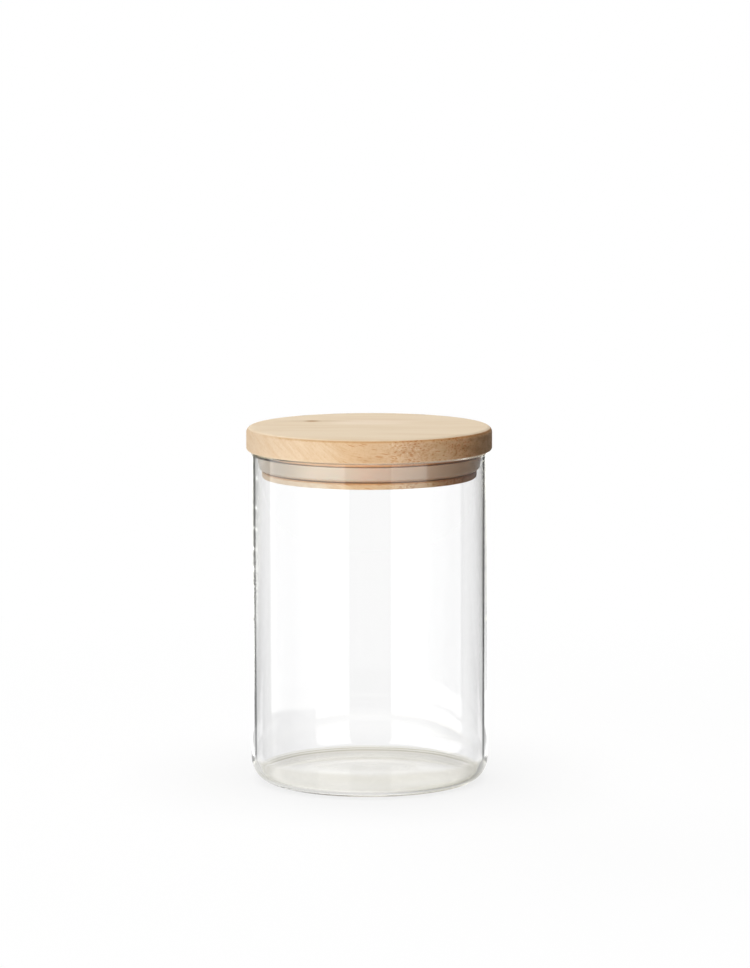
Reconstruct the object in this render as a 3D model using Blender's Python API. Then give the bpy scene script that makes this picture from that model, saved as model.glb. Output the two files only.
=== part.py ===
"""Storage jar: a blown glass body closed by a turned wooden plug lid with a silicone seal.

Metres, +Z up. The origin is the centre of the ring that the jar stands on.
Every piece is turned about the jar's own axis, so each one is an outline of (radius, height)
points that goes once round that axis. The lid and its seal are drawn from the plane where the
cap rests on the rim, and an empty holds them there.
"""

import math

import bmesh
import bpy

# Fit of all pieces
TOUCH_GAP = 0.0003              # kept wherever two real pieces touch

# Glass body
GLASS_DIAMETER = 0.095
GLASS_WALL = 0.0018
GLASS_HEIGHT = 0.1327
GLASS_FLOOR = 0.0020            # glass between the standing ring's plane and the inside floor
FLOOR_CROWN = 0.0006            # how far the inside floor rises in the middle
PUSH_UP = 0.0008                # how far the underside is pushed up in the middle
STANDING_RING = 0.0030          # width of the flat ring that the jar stands on
HEEL_REACH = 0.0080             # outer base corner, measured along the base
HEEL_RISE = 0.0095              # outer base corner, measured up the wall
INNER_HEEL_REACH = 0.0055
INNER_HEEL_RISE = 0.0085

# Wooden lid
CAP_OVERHANG = 0.0015           # of the cap past the outside of the glass
CAP_THICKNESS = 0.0095
CAP_TOP_ROUND = 0.0023
CAP_BOTTOM_ROUND = 0.0012
PLUG_CLEARANCE = 0.00235        # between the plug and the inside of the glass
LAND_HEIGHT = 0.0020            # plug between the cap and the groove
GROOVE_HEIGHT = 0.0063
GROOVE_DEPTH = 0.00225
FLANGE_HEIGHT = 0.0025          # plug below the groove
FLANGE_ROUND = 0.0003
EDGE_BREAK = 0.0003             # turned edges are taken off by this much

# Silicone seal
BAND_THICKNESS = 0.0013         # the part that grips the bottom of the groove
FOOT_GAP = 0.0003               # between the seal's flat foot and the flange
LIP_TIP = 0.0007                # thickness of the lip where it meets the glass
LIP_ROOT = 0.0010               # thickness of the lip and of the foot that it springs from
LIP_ABOVE_LAND = 0.00015        # of the lip's tip above the top of the groove
LIP_LEAN = 0.0009               # how far the lip leans out on its way up to the glass
BOWL_RADIUS = 0.0019            # of the lip's underside, where it turns into the foot
SLOT_RADIUS = 0.0004            # of the corners at the bottom of the slot
BAND_ROUND = 0.00026            # taken off the corners of the band

# Facets
SEGMENTS = 72
HEEL_STEPS = 8
RIM_STEPS = 6
ROUND_STEPS = 5
BOWL_STEPS = 6
SMALL_STEPS = 2
CROWN_STEPS = 4
MERGE_DISTANCE = 1e-6
SHARP_ANGLE = math.radians(40)

# Where each kind of rounded corner starts, in degrees, on an outline that runs clockwise
QUARTER_TURN = 90
OUTER_TOP = 90
OUTER_BOTTOM = 0
INNER_BOTTOM = -90
INNER_TOP = 180

# Sizes that follow
GLASS_RADIUS = GLASS_DIAMETER / 2
MOUTH_RADIUS = GLASS_RADIUS - GLASS_WALL
CAP_RADIUS = GLASS_RADIUS + CAP_OVERHANG
PLUG_RADIUS = MOUTH_RADIUS - PLUG_CLEARANCE
GROOVE_RADIUS = PLUG_RADIUS - GROOVE_DEPTH
SEAT_HEIGHT = GLASS_HEIGHT + TOUCH_GAP


def arc(centre, radii, start, end, steps):
    """Points of a circular or elliptical arc, in degrees from outwards (0) towards up (90)."""
    angles = [math.radians(start + (end - start) * step / steps) for step in range(steps + 1)]
    return [(centre[0] + radii[0] * math.cos(angle), centre[1] + radii[1] * math.sin(angle))
            for angle in angles]


def eased(corner, radius, start, steps):
    """Round off a square corner of an outline that runs clockwise, from its start angle on."""
    middle = math.radians(start - QUARTER_TURN / 2)
    centre = (corner[0] - math.copysign(radius, math.cos(middle)),
              corner[1] - math.copysign(radius, math.sin(middle)))
    return arc(centre, (radius, radius), start, start - QUARTER_TURN, steps)


def filleted(before, corner, after, radius, steps):
    """Round off any corner of an outline with an arc that meets both its sides smoothly."""
    back = math.atan2(before[1] - corner[1], before[0] - corner[0])
    ahead = math.atan2(after[1] - corner[1], after[0] - corner[0])
    opening = math.remainder(ahead - back, math.tau)
    reach = radius / math.sin(abs(opening) / 2)
    middle = back + opening / 2
    centre = (corner[0] + reach * math.cos(middle), corner[1] + reach * math.sin(middle))
    start = back - math.copysign(math.pi / 2, opening)
    turn = math.copysign(math.pi, opening) - opening
    return arc(centre, (radius, radius), math.degrees(start), math.degrees(start - turn), steps)


def crown(radius, rise, height):
    """Points of a shallow dome from the axis out to a radius, level at both ends."""
    shares = [step / CROWN_STEPS for step in range(CROWN_STEPS + 1)]
    return [(radius * share, height + rise * (1 + math.cos(math.pi * share)) / 2)
            for share in shares]


def glass_outline():
    """The wall's section from the middle of the underside, round the rim, to the inside floor."""
    ring_outer = GLASS_RADIUS - HEEL_REACH
    rim = GLASS_WALL / 2
    floor_edge = MOUTH_RADIUS - INNER_HEEL_REACH
    underside = crown(ring_outer - STANDING_RING, PUSH_UP, 0)
    heel = arc((ring_outer, HEEL_RISE), (HEEL_REACH, HEEL_RISE), -90, 0, HEEL_STEPS)
    lip = arc((GLASS_RADIUS - rim, GLASS_HEIGHT - rim), (rim, rim), 0, 180, RIM_STEPS)
    inner_heel = arc((floor_edge, GLASS_FLOOR + INNER_HEEL_RISE),
                     (INNER_HEEL_REACH, INNER_HEEL_RISE), 0, -90, HEEL_STEPS)
    floor = crown(floor_edge, FLOOR_CROWN, GLASS_FLOOR)
    return underside + heel + lip + inner_heel + floor[-2::-1]


def lid_outline():
    """The lid's section from the middle of its top to the middle of the plug's underside."""
    groove_top = -LAND_HEIGHT
    groove_bottom = groove_top - GROOVE_HEIGHT
    plug_bottom = groove_bottom - FLANGE_HEIGHT
    return ([(0, CAP_THICKNESS)]
            + eased((CAP_RADIUS, CAP_THICKNESS), CAP_TOP_ROUND, OUTER_TOP, ROUND_STEPS)
            + eased((CAP_RADIUS, 0), CAP_BOTTOM_ROUND, OUTER_BOTTOM, ROUND_STEPS)
            + [(PLUG_RADIUS, 0)]
            + eased((PLUG_RADIUS, groove_top), EDGE_BREAK, OUTER_BOTTOM, SMALL_STEPS)
            + [(GROOVE_RADIUS, groove_top), (GROOVE_RADIUS, groove_bottom)]
            + eased((PLUG_RADIUS, groove_bottom), EDGE_BREAK, OUTER_TOP, SMALL_STEPS)
            + eased((PLUG_RADIUS, plug_bottom), FLANGE_ROUND, OUTER_BOTTOM, SMALL_STEPS)
            + [(0, plug_bottom)])


def seal_outline():
    """The seal's section: a band in the groove, a flat foot, and a lip up to the glass.

    The lip springs from the foot's outer edge, leans out until it bears on the glass and stays
    free of the band, so there is a slot between the two that is open at the top. That slot is
    what lets the lip give as the lid goes in.
    """
    groove_top = -LAND_HEIGHT
    band_inner = GROOVE_RADIUS + TOUCH_GAP
    band_outer = band_inner + BAND_THICKNESS
    band_top = groove_top - TOUCH_GAP
    foot = groove_top - GROOVE_HEIGHT + FOOT_GAP
    slot_floor = foot + LIP_ROOT
    lip_outer = MOUTH_RADIUS - TOUCH_GAP
    lip_top = groove_top + LIP_ABOVE_LAND
    tip = LIP_TIP / 2
    outer_tip = (lip_outer, lip_top - tip)
    inner_tip = (lip_outer - LIP_TIP, lip_top - tip)
    outer_foot = (lip_outer - LIP_LEAN, foot)
    inner_foot = (outer_foot[0] - LIP_ROOT, slot_floor)

    return (eased((band_outer, band_top), BAND_ROUND, OUTER_TOP, SMALL_STEPS)
            + filleted((band_outer, band_top), (band_outer, slot_floor), inner_foot,
                       SLOT_RADIUS, SMALL_STEPS)
            + filleted((band_outer, slot_floor), inner_foot, inner_tip, SLOT_RADIUS, SMALL_STEPS)
            + arc((lip_outer - tip, lip_top - tip), (tip, tip), 180, 0, ROUND_STEPS)
            + filleted(outer_tip, outer_foot, (band_inner, foot), BOWL_RADIUS, BOWL_STEPS)
            + eased((band_inner, foot), BAND_ROUND, INNER_BOTTOM, SMALL_STEPS)
            + eased((band_inner, band_top), BAND_ROUND, INNER_TOP, SMALL_STEPS))


def turned(name, outline, material, is_ring=False):
    """Turn an outline once round the Z axis into a closed, smooth-shaded object."""
    shape = bmesh.new()
    points = [shape.verts.new((radius, 0, height)) for radius, height in outline]
    followers = points[1:] + points[:1] if is_ring else points[1:]
    sides = [shape.edges.new(pair) for pair in zip(points, followers)]
    bmesh.ops.spin(shape, geom=points + sides, cent=(0, 0, 0), axis=(0, 0, 1),
                   angle=math.tau, steps=SEGMENTS, use_merge=True)
    bmesh.ops.remove_doubles(shape, verts=shape.verts, dist=MERGE_DISTANCE)
    bmesh.ops.recalc_face_normals(shape, faces=shape.faces)
    mesh = bpy.data.meshes.new(name)
    shape.to_mesh(mesh)
    shape.free()
    mesh.shade_smooth()
    mesh.set_sharp_from_angle(angle=SHARP_ANGLE)
    mesh.materials.append(material)
    piece = bpy.data.objects.new(name, mesh)
    bpy.context.collection.objects.link(piece)
    return piece


def surface(name, colour, roughness, transmission=0.0, ior=1.5, scatter=0.0):
    """A Principled material; transmission and scatter are the shares of light let through."""
    material = bpy.data.materials.new(name)
    material.use_nodes = True
    inputs = material.node_tree.nodes["Principled BSDF"].inputs
    inputs["Base Color"].default_value = (*colour, 1)
    inputs["Metallic"].default_value = 0
    inputs["Roughness"].default_value = roughness
    inputs["IOR"].default_value = ior
    inputs["Transmission Weight"].default_value = transmission
    inputs["Subsurface Weight"].default_value = scatter
    return material


def build():
    """Make the three pieces and hang the lid's two on the plane where the cap rests."""
    for leftover in list(bpy.data.objects):
        bpy.data.objects.remove(leftover)

    glass = surface("clear_glass", (1, 1, 1), 0.0, transmission=1.0, ior=1.47)
    wood = surface("pale_wood", (0.78, 0.61, 0.42), 0.55)
    silicone = surface("translucent_silicone", (0.74, 0.66, 0.56), 0.4, scatter=0.5, ior=1.41)

    glass_jar = turned("glass_jar", glass_outline(), glass)
    silicone_seal = turned("silicone_seal", seal_outline(), silicone, is_ring=True)
    wood_lid = turned("wood_lid", lid_outline(), wood)

    lid_seat = bpy.data.objects.new("lid_seat", None)
    bpy.context.collection.objects.link(lid_seat)
    lid_seat.location = (0, 0, SEAT_HEIGHT)
    lid_seat.parent = glass_jar
    silicone_seal.parent = lid_seat
    wood_lid.parent = silicone_seal


build()
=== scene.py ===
"""Storage jar with a turned wooden plug lid: its finished pieces, materials, studio and camera.

Metres, +Z up, the camera looks along +Y. Every piece is turned about the jar's own axis: a sharp
outline of (radius, height) corners is spun round, and then its ring-shaped edges are rounded.
Places inside the materials are in millimetres: x from left to right, y away from the camera and
heights from the table. A pair such as (6, 40) is a span: what it names fades in from the first
number to the second, which may be the smaller one.
"""

import math

import bmesh
import bpy
from mathutils import Matrix, Vector


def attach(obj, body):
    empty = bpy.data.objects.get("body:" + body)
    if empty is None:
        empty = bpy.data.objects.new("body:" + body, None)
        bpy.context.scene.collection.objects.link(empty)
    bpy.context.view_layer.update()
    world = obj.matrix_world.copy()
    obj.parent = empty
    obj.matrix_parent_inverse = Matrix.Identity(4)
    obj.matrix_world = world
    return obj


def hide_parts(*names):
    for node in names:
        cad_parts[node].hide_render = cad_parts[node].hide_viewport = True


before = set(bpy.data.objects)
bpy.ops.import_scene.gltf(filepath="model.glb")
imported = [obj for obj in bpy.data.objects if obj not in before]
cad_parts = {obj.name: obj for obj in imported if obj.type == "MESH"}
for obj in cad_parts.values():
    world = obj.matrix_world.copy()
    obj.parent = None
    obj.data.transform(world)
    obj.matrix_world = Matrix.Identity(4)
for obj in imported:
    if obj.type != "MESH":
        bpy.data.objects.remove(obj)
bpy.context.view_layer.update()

MM = 0.001

# Glass body
GLASS_RADIUS = 47.5 * MM
GLASS_WALL = 1.8 * MM
GLASS_HEIGHT = 132.7 * MM
GLASS_FLOOR = 2.0 * MM
RIM_ROUND = 0.4 * MM
FLOOR_CROWN = 0.6 * MM
PUSH_UP = 0.8 * MM
STANDING_RING = 3.0 * MM
HEEL_REACH = 8.0 * MM
HEEL_RISE = 9.5 * MM
INNER_HEEL_REACH = 5.5 * MM
INNER_HEEL_RISE = 8.5 * MM
MOUTH_RADIUS = GLASS_RADIUS - GLASS_WALL

# Wooden lid; heights from SEAT_HEIGHT, where the cap rests on the rim
TOUCH_GAP = 0.3 * MM
SEAT_HEIGHT = GLASS_HEIGHT + TOUCH_GAP
CAP_RADIUS = 49.0 * MM
CAP_THICKNESS = 9.5 * MM
CAP_TOP_ROUND = 2.3 * MM
CAP_BOTTOM_ROUND = 1.2 * MM
PLUG_RADIUS = MOUTH_RADIUS - 2.35 * MM
LAND_HEIGHT = 2.0 * MM
GROOVE_HEIGHT = 6.3 * MM
GROOVE_RADIUS = PLUG_RADIUS - 2.25 * MM
FLANGE_HEIGHT = 2.5 * MM
FLANGE_ROUND = 0.3 * MM
EDGE_BREAK = 0.3 * MM
LAND_ROUND = 0.1 * MM
CAP_TOP = SEAT_HEIGHT + CAP_THICKNESS
LAND_BOTTOM = SEAT_HEIGHT - LAND_HEIGHT
GROOVE_BOTTOM = LAND_BOTTOM - GROOVE_HEIGHT
PLUG_BOTTOM = GROOVE_BOTTOM - FLANGE_HEIGHT

# Silicone seal
BAND_THICKNESS = 1.3 * MM
FOOT_GAP = 0.3 * MM             # between the seal's foot and the bottom of the groove
LIP_TIP = 0.7 * MM
LIP_ROOT = 1.0 * MM
LIP_ABOVE_LAND = 0.15 * MM      # of the lip's tip above the top of the groove
LIP_LEAN = 0.9 * MM             # how far the lip leans out between its foot and its tip
BOWL = 1.9 * MM
SLOT_ROUND = 0.4 * MM
TIP_ROUND = 0.9 * LIP_TIP / 2
BAND_ROUND = 0.26 * MM

# Facets
SEGMENTS = 320
CROWN_STEPS = 8
LARGE_ROUND_STEPS = 16
CAP_TOP_STEPS = 10
RIM_STEPS = 8
SMALL_ROUND_STEPS = 5
BROKEN_EDGE_STEPS = 3
MERGE_DISTANCE = 1e-6
SAME_PLACE = 2e-6
SHARP_ANGLE = math.radians(40)

# Camera
CAMERA_PLACE = (0.0022949, -1.7442727, 0.3393876)
CAMERA_PITCH = 0.1256
CAMERA_ROLL = -0.0014
LENS = 163.8
SENSOR = 36

# Studio
WHITE = 1.0
AMBIENT = 0.04
BOUNCES = 128
BEHIND_GLASS = 1.03             # how bright white is behind the glass
NEAR_GLOW = 0.38                # share of the floor close to the jar that glows by itself
PAINT_SHARE = 0.19              # share of white that the paint adds there, where no shadow falls
SEEN_PAINT = 0.32               # how pale that paint is
LIT_FLOOR = 1.25                # light that the floor sends up at the left and the front
DIM_FLOOR = 0.28                # and at the back and the right
MIRRORED_TABLE = 0.78           # how bright the table is in the curve of the glass
TABLE_RADIUS = 0.45             # past it the lamps shine up from below the floor's height
NEAR_JAR = (0.45, 0.12)         # distances between which the floor turns from glow to paint

# What shiny things see. Azimuths are from the camera's side, + to the right
DIM_ROOM = 0.12
LEFT_WALL = 0.2
FAR_LEFT_WALL = 0.45
RIGHT_OF_TABLE = 0.36           # how much dimmer the table is at the right
BACK_PANEL_EDGES = (0.864, 0.885)
PANEL_TOPS = (0.62, 0.55)
TABLE_HEIGHTS = (-0.1842, -0.1872)

# Soft boxes that shiny things see: brightness; azimuth, half width and soft edge in degrees
PANELS = ((1.9, 39, 18, 1.5), (2.45, -67, 44, 3.0))

# Lamps: azimuth and elevation in degrees, distance, width, height and radiance
LAMPS = {"key": (-30, 3, 1.6, 1.3, 0.6, 6.4),
         "overhead": (0, 88, 1.5, 1.2, 1.2, 4.7),
         "back": (-150, 25, 1.8, 1.0, 1.2, 2.2)}

# Plain colours
NO_TINT = (1, 1, 1, 1)
NO_LIGHT = (0, 0, 0, 1)

# How much light the outer wall lets through, from face on (0) to edge on (1): painted shade, whose
# dark bands stand for the dark surroundings that the glass shows near its edges
WALL_SHADE_LEVELS = ((0.0, 1.0), (0.10, 1.0), (0.17, 0.94), (0.27, 0.88), (0.38, 0.91),
               (0.42, 1.0), (0.50, 1.0), (0.56, 0.95), (0.593, 0.92), (0.632, 0.89),
               (0.655, 0.86), (0.676, 0.87), (0.694, 0.93), (0.706, 0.52), (0.713, 0.05),
               (0.748, 0.03), (0.765, 0.60), (0.785, 0.94), (1.0, 0.94))
WALL_START = (9.0, 12.5)        # heights at which the heel gives way to the wall
# Painted shade at the wall's left edge, and painted light at its right edge
LEFT_SIDE = (-44.0, -44.6)
LEFT_SIDE_SHADE = (0.90, 0.90, 0.90, 1)
RIGHT_SIDE = (41, 44)
RIGHT_SIDE_END = (47.0, 46.5)
RIGHT_SIDE_LIGHT = (1.12, 1.12, 1.12, 1)

# The heel's tint from face on (0) to edge on (1), and what darkens parts of it: painted shade at
# the right, and an edge there of olive glass deepened by painted shade
HEEL_TINTS = ((0.0, (0.93, 0.92, 0.89, 1)), (0.5, (0.84, 0.83, 0.79, 1)),
              (0.85, (0.70, 0.69, 0.61, 1)), (1.0, (0.56, 0.54, 0.43, 1)))
OLIVE_EDGE_AND_SHADE = (0.36, 0.31, 0.17, 1)
OLIVE_HEIGHTS = (1.9, 1.1)
OLIVE_START = (6, 40)
OLIVE_END = (47, 41)
HEEL_RIGHT_SHADE = (0.86, 0.85, 0.78, 1)
DIM_HEIGHTS = (6, 2.5)
DIM_START = (4, 34)
UNDERSIDE_RADII = (40.5, 39.0)

# Painted rings round the inside of the heel, for the light and dark lines that the curved glass
# shows there, by height: 1 is RING_SPAN above the table
RING_SPAN = 6
RING_WOBBLE_SIZE = 30
PAINTED_HEEL_RINGS = ((0.34, (1, 1, 1, 1)), (0.38, (0.90, 0.89, 0.84, 1)),
              (0.44, (0.76, 0.74, 0.65, 1)), (0.49, (0.76, 0.74, 0.65, 1)),
              (0.545, (0.96, 0.95, 0.92, 1)), (0.605, (0.62, 0.60, 0.49, 1)),
              (0.665, (0.96, 0.95, 0.91, 1)), (0.728, (0.78, 0.76, 0.66, 1)),
              (0.79, (1, 1, 1, 1)))
# Painted shade on the back half of the inside of the heel
FAR_HALF_SHADE = (0.88, 0.87, 0.86, 1)
FAR_HALF_START = (-8, 10)
FAR_HALF_HEIGHTS = (4.5, 3.0)

# The glass's rim: its heights, its tint as it turns from the eye, painted dark brown as a painted
# reflection of the wood in shade, and a painted glow at its top
RIM_START = (131.3, 131.9)
RIM_TOP = (132.1, 132.45)
RIM_SHADE_SPAN = (-24, -34)
GLOWING_RIM = (-34, -28)
RIM_SHADE_TINTS = ((0.3, (1, 1, 1, 1)), (0.5, (0.06, 0.05, 0.03, 1)))
RIM_GLOW = (0.16, 0.13, 0.10, 1)

# The glass itself, and how its shadow thins, up the wall and towards the middle of the base
GLASS_IOR = 1.47
GLASS_ABSORBED = (0.80, 0.82, 0.66, 1)
GLASS_DENSITY = 1.2
SHADOW_HEIGHTS = (0.0, 14)
SHADOW_RADII = (40, 34)

# The wood's colours: its turned edge from the left end of the grain to the right, and its top
CAP_WIDTH = 98
WOOD_SIDE_TONES = ((0.02, (0.64, 0.495, 0.345, 1)), (0.14, (0.71, 0.55, 0.385, 1)),
                   (0.22, (0.73, 0.56, 0.385, 1)), (0.34, (0.735, 0.545, 0.355, 1)),
                   (0.42, (0.72, 0.50, 0.30, 1)), (0.50, (0.715, 0.487, 0.289, 1)),
                   (0.60, (0.77, 0.54, 0.335, 1)), (0.66, (0.71, 0.475, 0.29, 1)),
                   (0.79, (0.71, 0.475, 0.28, 1)), (0.87, (0.68, 0.405, 0.225, 1)),
                   (0.95, (0.50, 0.31, 0.175, 1)))
WOOD_TOP = (0.73, 0.60, 0.44, 1)
WOOD_TOP_PINK = (0.79, 0.66, 0.52, 1)
PINK_PATCH = ((1, 13), (17, 9))     # centre and radii, seen from above

# Where the wood's marks start and end from left to right, or in depth below the cap's top
END_GRAIN_START = (5, 11)
DASHES_START = (-24, -6)
DASHES_END = (17, 9)
DOTS_END = (52, 34)
CLOUDS_START = (20, 38)
FLECKS_END = (30, 14)
TOP_DEPTHS = (2.0, 1.0)
PLUG_DEPTHS = (9.5, 9.7)
OILED_DEPTHS = (1.6, 1.0)
OILED_START = (-48, -22)

# Sizes of the wood's marks: along x, along y and in height
STREAK_SIZE = (4, 4, 0.27)
STREAK_SIZE_ON_TOP = (45, 4.5, 10 / 3)
BAND_SIZE = (16, 16, 2.6)
BAND_SIZE_ON_TOP = (60, 14, 1)
DASH_SIZE = (6.5, 6.5, 0.95)
DASH_SIZE_ON_TOP = (12, 1.2, 1)
DOT_SIZE = (1.5, 1.3, 0.85)
WIDE_DOT_SIZE = (2.3, 1.7, 0.85)
WIDE_DOT_SHIFT = (7, 0, 3)      # keeps the wide dots off the other ones
CROWD_SIZE = (5, 5, 3)
CLOUD_SIZE = (3, 3, 2.2)
FLECK_SIZE = (0.8, 0.8, 0.9)

# What the wood's colour is multiplied by in its marks, and the pale flecks' own colour
STREAK_TINT = (0.90, 0.82, 0.73, 1)
BAND_TINT = (0.90, 0.84, 0.77, 1)
CLOUD_TINT = (0.80, 0.78, 0.66, 1)
MOTTLE_TINT = (0.92, 0.87, 0.80, 1)
PORE_TINT = (0.80, 0.58, 0.42, 1)
OILED_EDGE_TINT = (0.76, 0.64, 0.48, 1)
# Painted shade in the crevice at the top of the plug's flange
FLANGE_CREVICE_SHADE = (0.82, 0.62, 0.44, 1)
WING_TINT = (0.84, 0.80, 0.73, 1)
KNOT_TINT = (0.62, 0.46, 0.34, 1)
PALE_FLECK = (0.90, 0.74, 0.55, 1)

# The knot on the top, and the grey wings beside it: centre and radii, seen from above
KNOT = ((-23, 17.5), (3.4, 3.6))
KNOT_WINGS = ((-21, 17.5), (17, 5))

# A painted glow on the strip of the plug just under the cap, for light that the glass leads there
LAND_GLOW = (0.155, 0.125, 0.09, 1)
LAND_GLOW_RIGHT = (0.03, 0.012, 0.006, 1)
LAND_GLOW_FALL = (-10, 24)

# How much lighter the plug is painted, from its left end to its right: painted light for light
# that it misses under the cap and behind the glass, and painted shade at its right end
PLUG_LIGHT_LIFTS = ((0.10, (1.04, 1.05, 1.02, 1)), (0.30, (1.14, 1.26, 1.40, 1)),
              (0.46, (1.33, 1.34, 1.28, 1)), (0.58, (1.33, 1.34, 1.28, 1)),
              (0.66, (1.22, 1.27, 1.25, 1)), (0.74, (1.26, 1.32, 1.27, 1)),
              (0.77, (0.97, 0.84, 0.71, 1)), (1.0, (0.90, 0.74, 0.50, 1)))

# The seal's colours, darker at the left as painted shade, and what they are multiplied by: painted
# shade past the middle, at the right and at the foot, and clouds
SEAL_MIDDLE = (0.85, 0.64, 0.49, 1)
SEAL_LEFT_SHADED = (0.77, 0.66, 0.52, 1)
SEAL_LEFT_END_SHADED = (0.52, 0.44, 0.34, 1)
SEAL_PAST_MIDDLE_SHADE = (0.93, 0.94, 0.92, 1)
SEAL_RIGHT_SHADE = (0.84, 0.78, 0.70, 1)
SEAL_RIGHT_END_SHADE = (0.92, 0.77, 0.58, 1)
SEAL_CLOUD_TINT = (0.95, 0.93, 0.92, 1)
SEAL_CLOUD_SIZE = (4, 4, 1.5)
SEAL_FOOT_SHADE = (0.80, 0.66, 0.52, 1)
SEAL_FOOT = (1.7, 0.6)          # above the bottom of the groove

# Where the seal's colours and painted shade change from left to right
TO_SEAL_LEFT = (2, -16)
TO_SEAL_LEFT_END = (-20, -38)
PAST_MIDDLE = (6, 11)
TO_SEAL_RIGHT = (21, 24.5)
TO_SEAL_RIGHT_END = (26, 42)


# Shapes

def ring_edges(shape, radius, height):
    """The edges that run round the axis at one corner of the outline."""
    def on_ring(vert):
        return (abs(math.hypot(vert.co.x, vert.co.y) - radius) < SAME_PLACE
                and abs(vert.co.z - height) < SAME_PLACE)
    return [edge for edge in shape.edges if all(on_ring(vert) for vert in edge.verts)]


def stretch_height(shape, factor):
    """Stretch a shape along the axis, away from the table's plane."""
    bmesh.ops.scale(shape, vec=(1, 1, factor), verts=shape.verts)


def turned(name, outline, rounds, is_ring=False):
    """Spin an outline round the axis and round off its ring edges.

    A round is ((radius, height), reach, rise, steps): how far it reaches along the flat and up the
    wall. It is cut as a circular round on a shape whose heights are stretched to make it one.
    """
    shape = bmesh.new()
    points = [shape.verts.new((radius, 0, height)) for radius, height in outline]
    followers = points[1:] + points[:1] if is_ring else points[1:]
    sides = [shape.edges.new(pair) for pair in zip(points, followers)]
    bmesh.ops.spin(shape, geom=points + sides, cent=(0, 0, 0), axis=(0, 0, 1),
                   angle=math.tau, steps=SEGMENTS, use_merge=True)
    bmesh.ops.remove_doubles(shape, verts=shape.verts, dist=MERGE_DISTANCE)
    for (radius, height), reach, rise, steps in rounds:
        stretch_height(shape, reach / rise)
        bmesh.ops.bevel(shape, geom=ring_edges(shape, radius, height * reach / rise),
                        offset=reach, offset_type="OFFSET", affect="EDGES", segments=steps,
                        profile=0.5, material=-1, clamp_overlap=False)
        stretch_height(shape, rise / reach)
    bmesh.ops.remove_doubles(shape, verts=shape.verts, dist=MERGE_DISTANCE)
    bmesh.ops.recalc_face_normals(shape, faces=shape.faces)
    mesh = bpy.data.meshes.new(name)
    shape.to_mesh(mesh)
    shape.free()
    mesh.shade_smooth()
    mesh.set_sharp_from_angle(angle=SHARP_ANGLE)
    piece = bpy.data.objects.new(name, mesh)
    bpy.context.collection.objects.link(piece)
    return piece


def crown(radius, rise, height):
    """Corners of a shallow dome from the axis out to a radius, level at both ends."""
    shares = [step / CROWN_STEPS for step in range(CROWN_STEPS + 1)]
    return [(radius * share, height + rise * (1 + math.cos(math.pi * share)) / 2)
            for share in shares]


def make_glass():
    """One closed wall: underside, heel, outer wall, fire-rounded rim, inner wall, inside floor."""
    ring_inner = GLASS_RADIUS - HEEL_REACH - STANDING_RING
    floor_edge = MOUTH_RADIUS - INNER_HEEL_REACH
    outline = (crown(ring_inner, PUSH_UP, 0)
               + [(GLASS_RADIUS, 0), (GLASS_RADIUS, GLASS_HEIGHT),
                  (MOUTH_RADIUS, GLASS_HEIGHT), (MOUTH_RADIUS, GLASS_FLOOR)]
               + crown(floor_edge, FLOOR_CROWN, GLASS_FLOOR)[::-1])
    rounds = [((GLASS_RADIUS, 0), HEEL_REACH, HEEL_RISE, LARGE_ROUND_STEPS),
              ((GLASS_RADIUS, GLASS_HEIGHT), RIM_ROUND, RIM_ROUND, RIM_STEPS),
              ((MOUTH_RADIUS, GLASS_HEIGHT), RIM_ROUND, RIM_ROUND, RIM_STEPS),
              ((MOUTH_RADIUS, GLASS_FLOOR), INNER_HEEL_REACH, INNER_HEEL_RISE,
               LARGE_ROUND_STEPS)]
    return turned("glass_body", outline, rounds)


def make_lid():
    """The cap, and the plug under it with the groove that holds the seal."""
    outline = [(0, CAP_TOP), (CAP_RADIUS, CAP_TOP), (CAP_RADIUS, SEAT_HEIGHT),
               (PLUG_RADIUS, SEAT_HEIGHT), (PLUG_RADIUS, LAND_BOTTOM),
               (GROOVE_RADIUS, LAND_BOTTOM), (GROOVE_RADIUS, GROOVE_BOTTOM),
               (PLUG_RADIUS, GROOVE_BOTTOM), (PLUG_RADIUS, PLUG_BOTTOM), (0, PLUG_BOTTOM)]
    rounds = [((CAP_RADIUS, CAP_TOP), CAP_TOP_ROUND, CAP_TOP_ROUND, CAP_TOP_STEPS),
              ((CAP_RADIUS, SEAT_HEIGHT), CAP_BOTTOM_ROUND, CAP_BOTTOM_ROUND, RIM_STEPS),
              ((PLUG_RADIUS, LAND_BOTTOM), LAND_ROUND, LAND_ROUND, BROKEN_EDGE_STEPS),
              ((PLUG_RADIUS, GROOVE_BOTTOM), EDGE_BREAK, EDGE_BREAK, BROKEN_EDGE_STEPS),
              ((PLUG_RADIUS, PLUG_BOTTOM), FLANGE_ROUND, FLANGE_ROUND, BROKEN_EDGE_STEPS)]
    return turned("turned_lid", outline, rounds)


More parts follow.
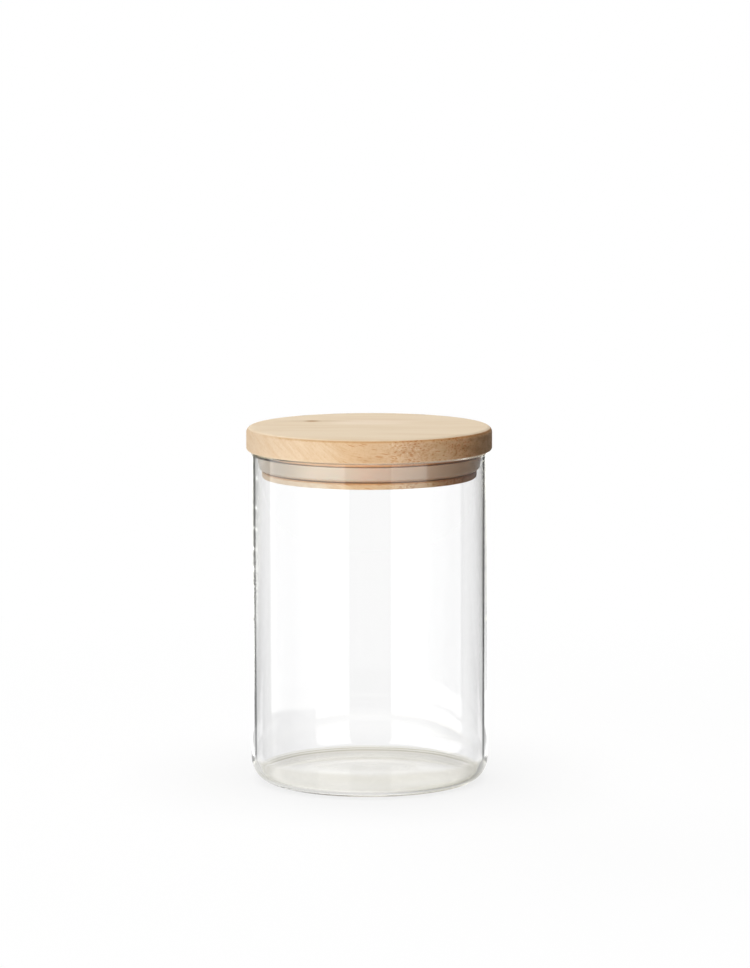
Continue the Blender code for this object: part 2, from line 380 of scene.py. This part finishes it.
def make_seal():
    """A band in the groove, and a lip that curves up from its foot and leans out to the glass."""
    band_inner = GROOVE_RADIUS + TOUCH_GAP
    band_outer = band_inner + BAND_THICKNESS
    band_top = LAND_BOTTOM - TOUCH_GAP
    foot = GROOVE_BOTTOM + FOOT_GAP
    lip_outer = MOUTH_RADIUS - TOUCH_GAP
    lip_inner = lip_outer - LIP_TIP
    lip_top = LAND_BOTTOM + LIP_ABOVE_LAND
    outer_foot = lip_outer - LIP_LEAN
    inner_foot = outer_foot - LIP_ROOT
    slot_foot = foot + LIP_ROOT
    outline = [(band_outer, band_top), (band_outer, slot_foot), (inner_foot, slot_foot),
               (lip_inner, lip_top), (lip_outer, lip_top), (outer_foot, foot),
               (band_inner, foot), (band_inner, band_top)]
    rounds = [((outer_foot, foot), BOWL, BOWL, LARGE_ROUND_STEPS),
              ((inner_foot, slot_foot), SLOT_ROUND, SLOT_ROUND, SMALL_ROUND_STEPS),
              ((lip_inner, lip_top), TIP_ROUND, TIP_ROUND, SMALL_ROUND_STEPS),
              ((lip_outer, lip_top), TIP_ROUND, TIP_ROUND, SMALL_ROUND_STEPS),
              ((band_outer, band_top), BAND_ROUND, BAND_ROUND, BROKEN_EDGE_STEPS),
              ((band_inner, foot), BAND_ROUND, BAND_ROUND, BROKEN_EDGE_STEPS),
              ((band_inner, band_top), BAND_ROUND, BAND_ROUND, BROKEN_EDGE_STEPS)]
    return turned("seal_ring", outline, rounds, is_ring=True)


# Shader nodes

class Shade:
    """An output of a node. Plain arithmetic on it adds the Math nodes."""

    def __init__(self, recipe, node, output=0):
        self.recipe = recipe
        self.node = node
        self.socket = node.outputs[output]

    def out(self, name):
        return Shade(self.recipe, self.node, name)

    def __add__(self, other):
        return self.recipe.maths("ADD", self, other)

    def __radd__(self, other):
        return self.recipe.maths("ADD", other, self)

    def __sub__(self, other):
        return self.recipe.maths("SUBTRACT", self, other)

    def __rsub__(self, other):
        return self.recipe.maths("SUBTRACT", other, self)

    def __mul__(self, other):
        return self.recipe.maths("MULTIPLY", self, other)

    def __rmul__(self, other):
        return self.recipe.maths("MULTIPLY", other, self)

    def __truediv__(self, other):
        return self.recipe.maths("DIVIDE", self, other)

    def __pow__(self, other):
        return self.recipe.maths("POWER", self, other)


class Recipe:
    """A node tree, with the one way in which nodes are added to it."""

    def __init__(self, owner):
        owner.use_nodes = True
        self.tree = owner.node_tree
        self.tree.nodes.clear()

    def node(self, kind, settings=None, sockets=None):
        """Add a node: its settings first, then the values or links of its sockets."""
        node = self.tree.nodes.new(kind)
        for name, value in (settings or {}).items():
            if name == "stops":
                set_stops(node.color_ramp, value)
            else:
                setattr(node, name, value)
        for name, value in (sockets or {}).items():
            if isinstance(value, Shade):
                self.tree.links.new(value.socket, node.inputs[name])
            else:
                node.inputs[name].default_value = value
        return Shade(self, node) if node.outputs else node

    def maths(self, operation, *values):
        return self.node("ShaderNodeMath", {"operation": operation}, dict(enumerate(values)))

    def larger(self, first, second):
        return self.maths("MAXIMUM", first, second)

    def is_less(self, value, limit):
        return self.maths("LESS_THAN", value, limit)

    def absolute(self, value):
        return self.maths("ABSOLUTE", value)

    def between(self, value, low, high):
        """0 below low, 1 above high, and a smooth step between them; low may be the greater."""
        return self.node("ShaderNodeMapRange",
                         {"interpolation_type": "SMOOTHSTEP", "clamp": True},
                         {"Value": value, "From Min": low, "From Max": high})

    def vector(self, x, y, z):
        return self.node("ShaderNodeCombineXYZ", None, {0: x, 1: y, 2: z})

    def parts(self, vector):
        """The X, Y and Z of a vector."""
        split = self.node("ShaderNodeSeparateXYZ", None, {0: vector})
        return [split.out(axis) for axis in "XYZ"]

    def length(self, vector):
        return self.node("ShaderNodeVectorMath", {"operation": "LENGTH"}, {0: vector}).out("Value")

    def millimetres(self, coordinates):
        """The object's own coordinates in millimetres."""
        place = self.node("ShaderNodeVectorMath", {"operation": "SCALE"},
                          {0: coordinates.out("Object"), "Scale": 1 / MM})
        return self.parts(place)

    def noise(self, place, detail, roughness):
        return self.node("ShaderNodeTexNoise", {"noise_dimensions": "3D"},
                         {"Vector": place, "Scale": 1, "Detail": detail, "Roughness": roughness})

    def cells(self, place):
        """How far a place is from the nearest of many points, scattered about one apart."""
        return self.node("ShaderNodeTexVoronoi", None, {"Vector": place, "Scale": 1})

    def ramp(self, value, stops):
        return self.node("ShaderNodeValToRGB", {"stops": stops}, {0: value})

    def mix_vectors(self, factor, first, second):
        mixer = self.node("ShaderNodeMix", {"data_type": "VECTOR"},
                          {0: factor, 4: first, 5: second})
        return Shade(self, mixer.node, 1)

    def mix(self, factor, first, second, blend="MIX"):
        """A colour between two colours."""
        mixer = self.node("ShaderNodeMix", {"data_type": "RGBA", "blend_type": blend},
                          {0: factor, 6: first, 7: second})
        return Shade(self, mixer.node, 2)

    def tinted(self, factor, colour, tint):
        """A colour multiplied by a tint, in full where the factor is 1."""
        return self.mix(factor, colour, tint, "MULTIPLY")

    def principled(self, sockets):
        return self.node("ShaderNodeBsdfPrincipled", None, sockets)


def set_stops(ramp, stops):
    """Set a ramp's colours; the two that it starts with are used first."""
    while len(ramp.elements) < len(stops):
        ramp.elements.new(1)
    for element, (position, colour) in zip(ramp.elements, stops):
        element.position = position
        element.color = colour


# Glass

class Glass:
    """The places that the clear glass's tint depends on."""

    def __init__(self, recipe):
        coordinates = recipe.node("ShaderNodeTexCoord")
        self.recipe = recipe
        self.x, self.y, self.height = recipe.millimetres(coordinates)
        self.radius = (self.x ** 2 + self.y ** 2) ** 0.5
        normal_x, normal_y, normal_z = recipe.parts(coordinates.out("Normal"))
        outwards = (self.x * normal_x + self.y * normal_y) / (self.radius + 0.001)
        self.inner = recipe.between(normal_z - outwards, -0.1, 0.1)
        self.grazing = recipe.node("ShaderNodeLayerWeight", None, {"Blend": 0.5}).out("Facing")

    def wall_shade_tint(self):
        """The outer wall's painted shade: darker towards its edges as seen, and most where it is
        thickest, with a darker left edge and a painted lighter right edge.
        """
        recipe, x = self.recipe, self.x
        tint = recipe.ramp(self.grazing, [(stop, (level, level, level * 1.003, 1))
                                          for stop, level in WALL_SHADE_LEVELS])
        # Painted shade at the left edge and painted light at the right
        sides = recipe.mix(recipe.between(x, *LEFT_SIDE), NO_TINT, LEFT_SIDE_SHADE)
        right_side = recipe.between(x, *RIGHT_SIDE) * recipe.between(x, *RIGHT_SIDE_END)
        sides = recipe.mix(right_side, sides, RIGHT_SIDE_LIGHT)
        return recipe.tinted(1.0, tint, sides)

    def painted_ring_tint(self):
        """Painted rings round the inside of the heel, for the lines that the curved glass shows
        there, and painted shade on its back half.
        """
        recipe, height = self.recipe, self.height
        place = recipe.vector(self.x / RING_WOBBLE_SIZE, self.y / RING_WOBBLE_SIZE, 0)
        wobble = recipe.noise(place, 1, 0.5) - 0.5
        tint = recipe.ramp((height + 0.35 + 0.5 * wobble) / RING_SPAN, PAINTED_HEEL_RINGS)
        # Painted shade on the heel's back half, low down
        far_half = recipe.between(self.y + 0.4 * self.x, *FAR_HALF_START)
        far_half = far_half * recipe.between(height, *FAR_HALF_HEIGHTS)
        return recipe.tinted(far_half, tint, FAR_HALF_SHADE)

    def heel_tint(self):
        """The outside of the heel, with painted shade that dims it at the right, where its thick
        edge is olive glass darkened by painted shade.
        """
        recipe, x, height = self.recipe, self.x, self.height
        tint = recipe.ramp(self.grazing, HEEL_TINTS)
        at_right = recipe.between(x, *OLIVE_START) * recipe.between(x, *OLIVE_END)
        tint = recipe.tinted(recipe.between(height, *OLIVE_HEIGHTS) * at_right, tint, OLIVE_EDGE_AND_SHADE)
        # Painted shade over the heel's right side
        heel_shade = recipe.between(height, *DIM_HEIGHTS) * recipe.between(x, *DIM_START)
        tint = recipe.tinted(heel_shade, tint, HEEL_RIGHT_SHADE)
        underside = recipe.between(self.radius, *UNDERSIDE_RADII)
        return recipe.mix(underside, tint, NO_TINT)

    def tint(self):
        """The whole tint, with the rim's inner edge painted brown: a painted reflection of the
        wood and its shadow.
        """
        recipe = self.recipe
        on_wall = recipe.between(self.height, *WALL_START)
        outside = recipe.mix(on_wall, self.heel_tint(), NO_TINT)
        tint = recipe.mix(self.inner, outside, self.painted_ring_tint())
        tint = recipe.mix((1 - self.inner) * on_wall, tint, self.wall_shade_tint())
        on_rim = recipe.between(self.height, *RIM_START) * recipe.between(self.x, *RIM_SHADE_SPAN)
        return recipe.mix(on_rim, tint, recipe.ramp(self.grazing, RIM_SHADE_TINTS))

    def painted_glow(self):
        """A painted glow at the rim's top, for light that the wall leads up to it."""
        recipe = self.recipe
        on_top = recipe.between(self.height, *RIM_TOP) * recipe.between(self.x, *GLOWING_RIM)
        return recipe.mix(on_top, NO_LIGHT, RIM_GLOW)

    def shadow_gap(self):
        """How much of the light that casts shadows goes straight through."""
        recipe = self.recipe
        wall = recipe.between(self.height, *SHADOW_HEIGHTS) * 0.55 + 0.45
        base = recipe.between(self.radius, *SHADOW_RADII) * 0.72
        return recipe.larger(wall, base)


def glass_material():
    """Clear glass, with a trace of olive where it is thick."""
    material = bpy.data.materials.new("clear_glass")
    recipe = Recipe(material)
    glass = Glass(recipe)
    body = recipe.principled({
        "Base Color": glass.tint(), "Roughness": 0.0, "IOR": GLASS_IOR,
        "Transmission Weight": 1.0, "Emission Color": glass.painted_glow(),
        "Emission Strength": 1.0})
    through = recipe.node("ShaderNodeBsdfTransparent")
    is_shadow = recipe.node("ShaderNodeLightPath").out("Is Shadow Ray")
    surface = recipe.node("ShaderNodeMixShader", None,
                          {0: is_shadow * glass.shadow_gap(), 1: body, 2: through})
    absorbed = recipe.node("ShaderNodeVolumeAbsorption", None,
                           {"Color": GLASS_ABSORBED, "Density": GLASS_DENSITY})
    recipe.node("ShaderNodeOutputMaterial", None, {"Surface": surface, "Volume": absorbed})
    return material


# Wood

class Wood:
    """The places, grain and pores that the wood's colour, gloss and relief are mixed from."""

    def __init__(self, recipe):
        coordinates = recipe.node("ShaderNodeTexCoord")
        self.recipe = recipe
        self.x, self.y, self.z = recipe.millimetres(coordinates)
        upwards = recipe.parts(coordinates.out("Normal"))[2]
        self.flat = recipe.between(recipe.absolute(upwards), 0.66, 0.80)
        self.upright = 1 - self.flat
        self.depth = CAP_TOP / MM - self.z
        self.on_plug = recipe.between(self.depth, *PLUG_DEPTHS)
        self.end_grain = recipe.between(self.x, *END_GRAIN_START) * self.upright
        self.layer = self.z + self.dip()
        self.streaks, self.bands = self.grain()
        self.pores = self.vessels()

    def dip(self):
        """The grain dips steeply at the left of the turned edge and a little in the middle."""
        past_bend = self.x + 12
        return 0.12 * self.x + 0.95 * 0.5 * (past_bend - (past_bend ** 2 + 36) ** 0.5)

    def place(self, size, height):
        """A place in units of a mark's size."""
        return self.recipe.vector(self.x / size[0], self.y / size[1], height / size[2])

    def grain(self):
        """Fine streaks and broad bands, both drawn out along the grain."""
        recipe = self.recipe
        streak_place = recipe.mix_vectors(self.flat, self.place(STREAK_SIZE, self.layer),
                                          self.place(STREAK_SIZE_ON_TOP, self.z))
        band_place = recipe.mix_vectors(self.flat, self.place(BAND_SIZE, self.layer),
                                        self.place(BAND_SIZE_ON_TOP, 0))
        return recipe.noise(streak_place, 3, 0.6), recipe.noise(band_place, 2, 0.5)

    def vessels(self):
        """Long dashes where they run along the surface, dots where they are cut across."""
        recipe, x, z = self.recipe, self.x, self.z
        dash_place = recipe.mix_vectors(self.flat, self.place(DASH_SIZE, self.layer),
                                        self.place(DASH_SIZE_ON_TOP, z))
        dashes = recipe.between(recipe.cells(dash_place), 0.30, 0.16) * self.upright
        dashes = dashes * recipe.between(x, *DASHES_START) * recipe.between(x, *DASHES_END)
        dots = recipe.cells(self.place(DOT_SIZE, z + 0.1 * x))
        shifted = recipe.node("ShaderNodeVectorMath", {"operation": "ADD"},
                              {0: self.place(WIDE_DOT_SIZE, z - 0.1 * x), 1: WIDE_DOT_SHIFT})
        wide_dots = recipe.cells(shifted)
        crowd = recipe.noise(self.place(CROWD_SIZE, z), 1, 0.5)
        marks = recipe.larger(recipe.between(dots, 0.46, 0.18),
                              recipe.between(wide_dots, 0.42, 0.16) * 0.9)
        marks = (marks * self.end_grain * recipe.between(x, *DOTS_END)
                 * (0.55 + 0.45 * recipe.between(crowd, 0.36, 0.56)))
        return recipe.larger(dashes * 0.8, marks)

    def from_centre(self, centre, radii):
        """How far a place is from a centre, seen from above: 1 on the ellipse round it."""
        across = (self.x - centre[0]) / radii[0]
        along = (self.y - centre[1]) / radii[1]
        return self.recipe.length(self.recipe.vector(across, along, 0))

    def base_tone(self):
        """The turned edge's colours from left to right, the top's own two, and their grain."""
        recipe, x, flat = self.recipe, self.x, self.flat
        side_tone = recipe.ramp(x / CAP_WIDTH + 0.5 + (self.bands - 0.5) * 0.10, WOOD_SIDE_TONES)
        patch = self.from_centre(*PINK_PATCH) + (self.streaks - 0.5)
        top_tone = recipe.mix(recipe.between(patch, 1.3, 0.5) * 0.7, WOOD_TOP, WOOD_TOP_PINK)
        tone = recipe.mix(flat, side_tone, top_tone)
        in_middle = recipe.between(recipe.absolute(x - 2), 22, 8)
        streak_share = 0.65 - 0.35 * flat + 0.35 * in_middle * self.upright
        tone = recipe.tinted(recipe.between(self.streaks, 0.45, 0.75) * streak_share, tone,
                             STREAK_TINT)
        return recipe.tinted(recipe.between(self.bands, 0.42, 0.68) * (0.6 - 0.2 * flat), tone,
                             BAND_TINT)

    def with_end_grain(self, tone):
        """Clouds that are darker and greener, pale flecks, mottling and pores."""
        recipe = self.recipe
        clouds = recipe.noise(self.place(CLOUD_SIZE, self.z), 3, 0.6)
        clouded = recipe.between(clouds, 0.40, 0.62) * recipe.between(self.x, *CLOUDS_START)
        tone = recipe.tinted(clouded * self.upright * 0.75, tone, CLOUD_TINT)
        flecks = recipe.noise(self.place(FLECK_SIZE, self.z), 2, 0.6)
        flecked = recipe.between(flecks, 0.55, 0.70) * recipe.between(self.x, *FLECKS_END)
        tone = recipe.mix(flecked * self.end_grain * 0.5, tone, PALE_FLECK)
        mottled = recipe.between(flecks, 0.52, 0.36) * self.upright
        tone = recipe.tinted(mottled * 0.5, tone, MOTTLE_TINT)
        return recipe.tinted(self.pores, tone, PORE_TINT)

    def with_oiled_edge(self, tone):
        """The turned edge's upper part has taken more of the oil."""
        recipe = self.recipe
        edge = recipe.between(self.depth + (self.streaks - 0.5) * 1.2, *OILED_DEPTHS)
        edge = edge * recipe.between(self.x + 30 * (self.bands - 0.5), *OILED_START)
        return recipe.tinted(edge * self.upright * 0.85, tone, OILED_EDGE_TINT)

    def with_knot(self, tone):
        """A small knot on the top, with grey wings along the grain."""
        recipe = self.recipe
        on_top = self.flat * recipe.between(self.depth, *TOP_DEPTHS)
        wings = recipe.between(self.from_centre(*KNOT_WINGS), 1.3, 0.1)
        tone = recipe.tinted(on_top * wings * 0.6, tone, WING_TINT)
        knot = recipe.between(self.from_centre(*KNOT), 1.3, 0.2)
        return recipe.tinted(on_top * knot * 0.95, tone, KNOT_TINT)

    def with_plug(self, tone):
        """The plug is painted lighter than the cap and darker at its right end, with painted shade
        in the crevice at the top of its flange.
        """
        recipe = self.recipe
        light_lift = recipe.ramp(self.x / CAP_WIDTH + 0.5, PLUG_LIGHT_LIFTS)
        tone = recipe.tinted(self.on_plug, tone, light_lift)
        groove_bottom = GROOVE_BOTTOM / MM
        # Painted shade in the crevice just below the groove
        crevice_shade = self.on_plug * recipe.between(self.z, groove_bottom - 0.8, groove_bottom - 0.3)
        return recipe.tinted(crevice_shade, tone, FLANGE_CREVICE_SHADE)

    def tone(self):
        tone = self.with_end_grain(self.base_tone())
        tone = self.with_knot(self.with_oiled_edge(tone))
        return self.with_plug(tone)

    def painted_glow(self):
        """A painted glow on the land, the strip of the plug just under the cap, for light that the
        glass leads there.
        """
        recipe = self.recipe
        land_bottom = LAND_BOTTOM / MM
        on_land = recipe.between(self.z, land_bottom - 0.1, land_bottom + 0.1) * self.on_plug
        light = recipe.mix(recipe.between(self.x, *LAND_GLOW_FALL), LAND_GLOW, LAND_GLOW_RIGHT)
        return recipe.mix(on_land, NO_LIGHT, light)


def wood_material():
    """Pale hardwood with its grain along X: streaks, vessels and, at the right, their cut ends."""
    material = bpy.data.materials.new("pale_wood")
    recipe = Recipe(material)
    wood = Wood(recipe)
    bump = recipe.node("ShaderNodeBump", None,
                       {"Strength": 0.35, "Distance": 0.08 * MM,
                        "Height": wood.streaks * 0.4 - wood.pores * 0.6})
    body = recipe.principled({
        "Base Color": wood.tone(), "Roughness": 0.58 + 0.2 * wood.streaks + 0.1 * wood.pores,
        "IOR": 1.45, "Specular IOR Level": 0.3, "Normal": bump,
        "Emission Color": wood.painted_glow(), "Emission Strength": 1.0})
    recipe.node("ShaderNodeOutputMaterial", None, {"Surface": body})
    return material


# Silicone

def silicone_material():
    """Milky silicone that takes its colour from the wood round it, with painted shade that dims it
    towards its ends and at its foot.
    """
    material = bpy.data.materials.new("translucent_silicone")
    recipe = Recipe(material)
    x, y, z = recipe.millimetres(recipe.node("ShaderNodeTexCoord"))
    # Painted shade darkens the seal to the left, past its middle and at its right
    tone = recipe.mix(recipe.between(x, *TO_SEAL_LEFT), SEAL_MIDDLE, SEAL_LEFT_SHADED)
    tone = recipe.mix(recipe.between(x, *TO_SEAL_LEFT_END), tone, SEAL_LEFT_END_SHADED)
    past_middle = recipe.tinted(recipe.between(x, *PAST_MIDDLE), tone, SEAL_PAST_MIDDLE_SHADE)
    right_shade = recipe.mix(recipe.between(x, *TO_SEAL_RIGHT_END), SEAL_RIGHT_SHADE,
                            SEAL_RIGHT_END_SHADE)
    right = recipe.tinted(1.0, tone, right_shade)
    tone = recipe.mix(recipe.between(x, *TO_SEAL_RIGHT), past_middle, right)
    size_x, size_y, size_z = SEAL_CLOUD_SIZE
    cloud = recipe.noise(recipe.vector(x / size_x, y / size_y, z / size_z), 3, 0.6)
    tone = recipe.tinted(recipe.between(cloud, 0.4, 0.7) * 0.5, tone, SEAL_CLOUD_TINT)
    # Painted shade at the seal's foot, in the crevice above the flange
    foot = recipe.between(z - GROOVE_BOTTOM / MM, *SEAL_FOOT)
    tone = recipe.tinted(foot, tone, SEAL_FOOT_SHADE)
    body = recipe.principled({
        "Base Color": tone, "Roughness": 0.4, "IOR": 1.41, "Specular IOR Level": 0.3,
        "Subsurface Weight": 0.35, "Subsurface Radius": (1.0, 0.6, 0.4),
        "Subsurface Scale": 0.8 * MM})
    recipe.node("ShaderNodeOutputMaterial", None, {"Surface": body})
    return material


# Studio

class Sight:
    """What a ray is for: the eye's own look, a mirrored look, or the light on a surface."""

    def __init__(self, recipe):
        path = recipe.node("ShaderNodeLightPath")
        self.is_look = recipe.is_less(path.out("Diffuse Depth"), 0.5)
        self.is_straight = recipe.is_less(path.out("Glossy Depth"), 0.5)
        self.is_camera = path.out("Is Camera Ray")
        self.is_through = path.out("Is Transmission Ray")
        self.is_shadow = path.out("Is Shadow Ray")


def compass(recipe, level, azimuth):
    """How far a level direction points towards an azimuth, as the cosine of the angle between."""
    turn = math.radians(azimuth)
    return recipe.node("ShaderNodeVectorMath", {"operation": "DOT_PRODUCT"},
                       {0: level, 1: (math.sin(turn), -math.cos(turn), 0)}).out("Value")


def floor_material():
    """White paper: the eye sees it glow white, less the jar's shadow; light finds plain paint."""
    material = bpy.data.materials.new("studio_floor")
    recipe = Recipe(material)
    sight = Sight(recipe)
    place = recipe.node("ShaderNodeTexCoord").out("Object")
    away = recipe.length(place)
    near = recipe.between(away, *NEAR_JAR)
    past_edge = recipe.between(away, TABLE_RADIUS, TABLE_RADIUS + 0.01)
    is_seen = sight.is_look * sight.is_straight * (sight.is_camera + sight.is_through)
    glow_seen = 1 - (1 - NEAR_GLOW) * near
    glow = is_seen * glow_seen + (1 - is_seen)
    left = recipe.between(compass(recipe, place, 100), 0.09, -0.04)
    paint = recipe.node("ShaderNodeBsdfDiffuse", None,
                        {"Color": (SEEN_PAINT, SEEN_PAINT, SEEN_PAINT, 1)})
    bounce = DIM_FLOOR + (LIT_FLOOR - DIM_FLOOR) * left
    behind = 1 + (BEHIND_GLASS - 1) * sight.is_through
    shine = (WHITE - PAINT_SHARE * near) / glow_seen * behind
    shine = is_seen * shine + (1 - is_seen) * bounce
    light = recipe.node("ShaderNodeEmission", None, {"Color": NO_TINT, "Strength": shine})
    surface = recipe.node("ShaderNodeMixShader", None, {0: glow, 1: paint, 2: light})
    nothing = recipe.node("ShaderNodeBsdfTransparent")
    is_mirrored = sight.is_look * (1 - sight.is_straight) * sight.is_through
    open_air = recipe.larger(sight.is_shadow * past_edge, is_mirrored)
    surface = recipe.node("ShaderNodeMixShader", None, {0: open_air, 1: surface, 2: nothing})
    recipe.node("ShaderNodeOutputMaterial", None, {"Surface": surface})
    return material


def upright_panel(recipe, level, height, azimuth, half_width, softness):
    """1 in the part of the surround that a tall soft box covers; azimuths as for the lamps."""
    edge = [math.cos(math.radians(half_width + side * softness)) for side in (0.5, -0.5)]
    across = recipe.between(compass(recipe, level, azimuth), *edge)
    return across * recipe.between(height, *PANEL_TOPS)


def mirrored_room(recipe):
    """What shiny things see: a bright back and left, soft boxes, and the table down below."""
    towards = recipe.node("ShaderNodeTexCoord").out("Generated")
    height = recipe.parts(towards)[2]
    level = recipe.node("ShaderNodeVectorMath", {"operation": "MULTIPLY"},
                        {0: towards, 1: (1, 1, 0)})
    level = recipe.node("ShaderNodeVectorMath", {"operation": "NORMALIZE"}, {0: level})
    back = recipe.between(compass(recipe, level, 178), *BACK_PANEL_EDGES)
    back = back * (0.95 + 0.55 * recipe.between(height, 0.05, -0.05))
    left = recipe.between(compass(recipe, level, -90), -0.1, 0.5)
    far_left = recipe.between(compass(recipe, level, -105), 0.86, 0.95)
    room = DIM_ROOM + back + LEFT_WALL * left + FAR_LEFT_WALL * far_left
    for brightness, *panel in PANELS:
        room = room + brightness * upright_panel(recipe, level, height, *panel)
    right = recipe.between(compass(recipe, level, 90), 0.1, 0.7)
    table = MIRRORED_TABLE - RIGHT_OF_TABLE * right
    return room + (table - room) * recipe.between(height, *TABLE_HEIGHTS)


def light_world():
    """White to the eye; to shiny things, a studio with a soft box at each side and a dim right."""
    world = bpy.data.worlds.new("studio")
    bpy.context.scene.world = world
    recipe = Recipe(world)
    sight = Sight(recipe)
    seen = sight.is_camera * WHITE + sight.is_through * WHITE * BEHIND_GLASS
    look = sight.is_straight * seen + (1 - sight.is_straight) * mirrored_room(recipe)
    strength = sight.is_look * look + (1 - sight.is_look) * AMBIENT
    shell = recipe.node("ShaderNodeBackground", None, {"Color": NO_TINT, "Strength": strength})
    recipe.node("ShaderNodeOutputWorld", None, {"Surface": shell})


def soft_lamp(name, azimuth, elevation, distance, width, height, radiance):
    """A soft box that faces the jar and that no shiny thing mirrors."""
    data = bpy.data.lights.new(name, "AREA")
    data.shape = "RECTANGLE"
    data.size = width
    data.size_y = height
    data.energy = radiance * math.pi * width * height
    lamp = bpy.data.objects.new(name, data)
    turn = math.radians(azimuth)
    rise = math.radians(elevation)
    way = Vector((math.sin(turn) * math.cos(rise), -math.cos(turn) * math.cos(rise),
                  math.sin(rise)))
    lamp.location = way * distance + Vector((0, 0, GLASS_HEIGHT / 2))
    lamp.rotation_euler = way.to_track_quat("Z", "Y").to_euler()
    lamp.visible_camera = False
    lamp.visible_transmission = False
    lamp.visible_glossy = False
    bpy.context.collection.objects.link(lamp)


def place_camera():
    """A long lens that looks at the jar from in front and a little above its lid."""
    data = bpy.data.cameras.new("camera")
    data.lens = LENS
    data.sensor_width = SENSOR
    camera = bpy.data.objects.new("camera", data)
    camera.matrix_world = (Matrix.Translation(CAMERA_PLACE)
                           @ Matrix.Rotation(math.pi / 2 - CAMERA_PITCH, 4, "X")
                           @ Matrix.Rotation(CAMERA_ROLL, 4, "Z"))
    bpy.context.collection.objects.link(camera)
    bpy.context.scene.camera = camera


def make_floor():
    """A wide round floor at the height that the jar stands on."""
    shape = bmesh.new()
    bmesh.ops.create_circle(shape, cap_ends=True, cap_tris=False, segments=96, radius=4.0)
    mesh = bpy.data.meshes.new("studio_floor")
    shape.to_mesh(mesh)
    shape.free()
    floor = bpy.data.objects.new("studio_floor", mesh)
    bpy.context.collection.objects.link(floor)
    mesh.materials.append(floor_material())
    floor.visible_glossy = False


def finish_piece(piece, material, body, node):
    """Give a piece its material, tie it to the body that moves it, and hide the node it replaces.
    """
    piece.data.materials.append(material)
    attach(piece, body)
    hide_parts(node)


finish_piece(make_glass(), glass_material(), "jar", "glass_jar")
finish_piece(make_seal(), silicone_material(), "seal", "silicone_seal")
finish_piece(make_lid(), wood_material(), "lid", "wood_lid")

make_floor()
light_world()
for lamp_name, lamp_values in LAMPS.items():
    soft_lamp(lamp_name, *lamp_values)
place_camera()

scene = bpy.context.scene
scene.view_settings.view_transform = "Standard"
scene.cycles.max_bounces = BOUNCES
scene.cycles.glossy_bounces = BOUNCES
scene.cycles.transmission_bounces = BOUNCES
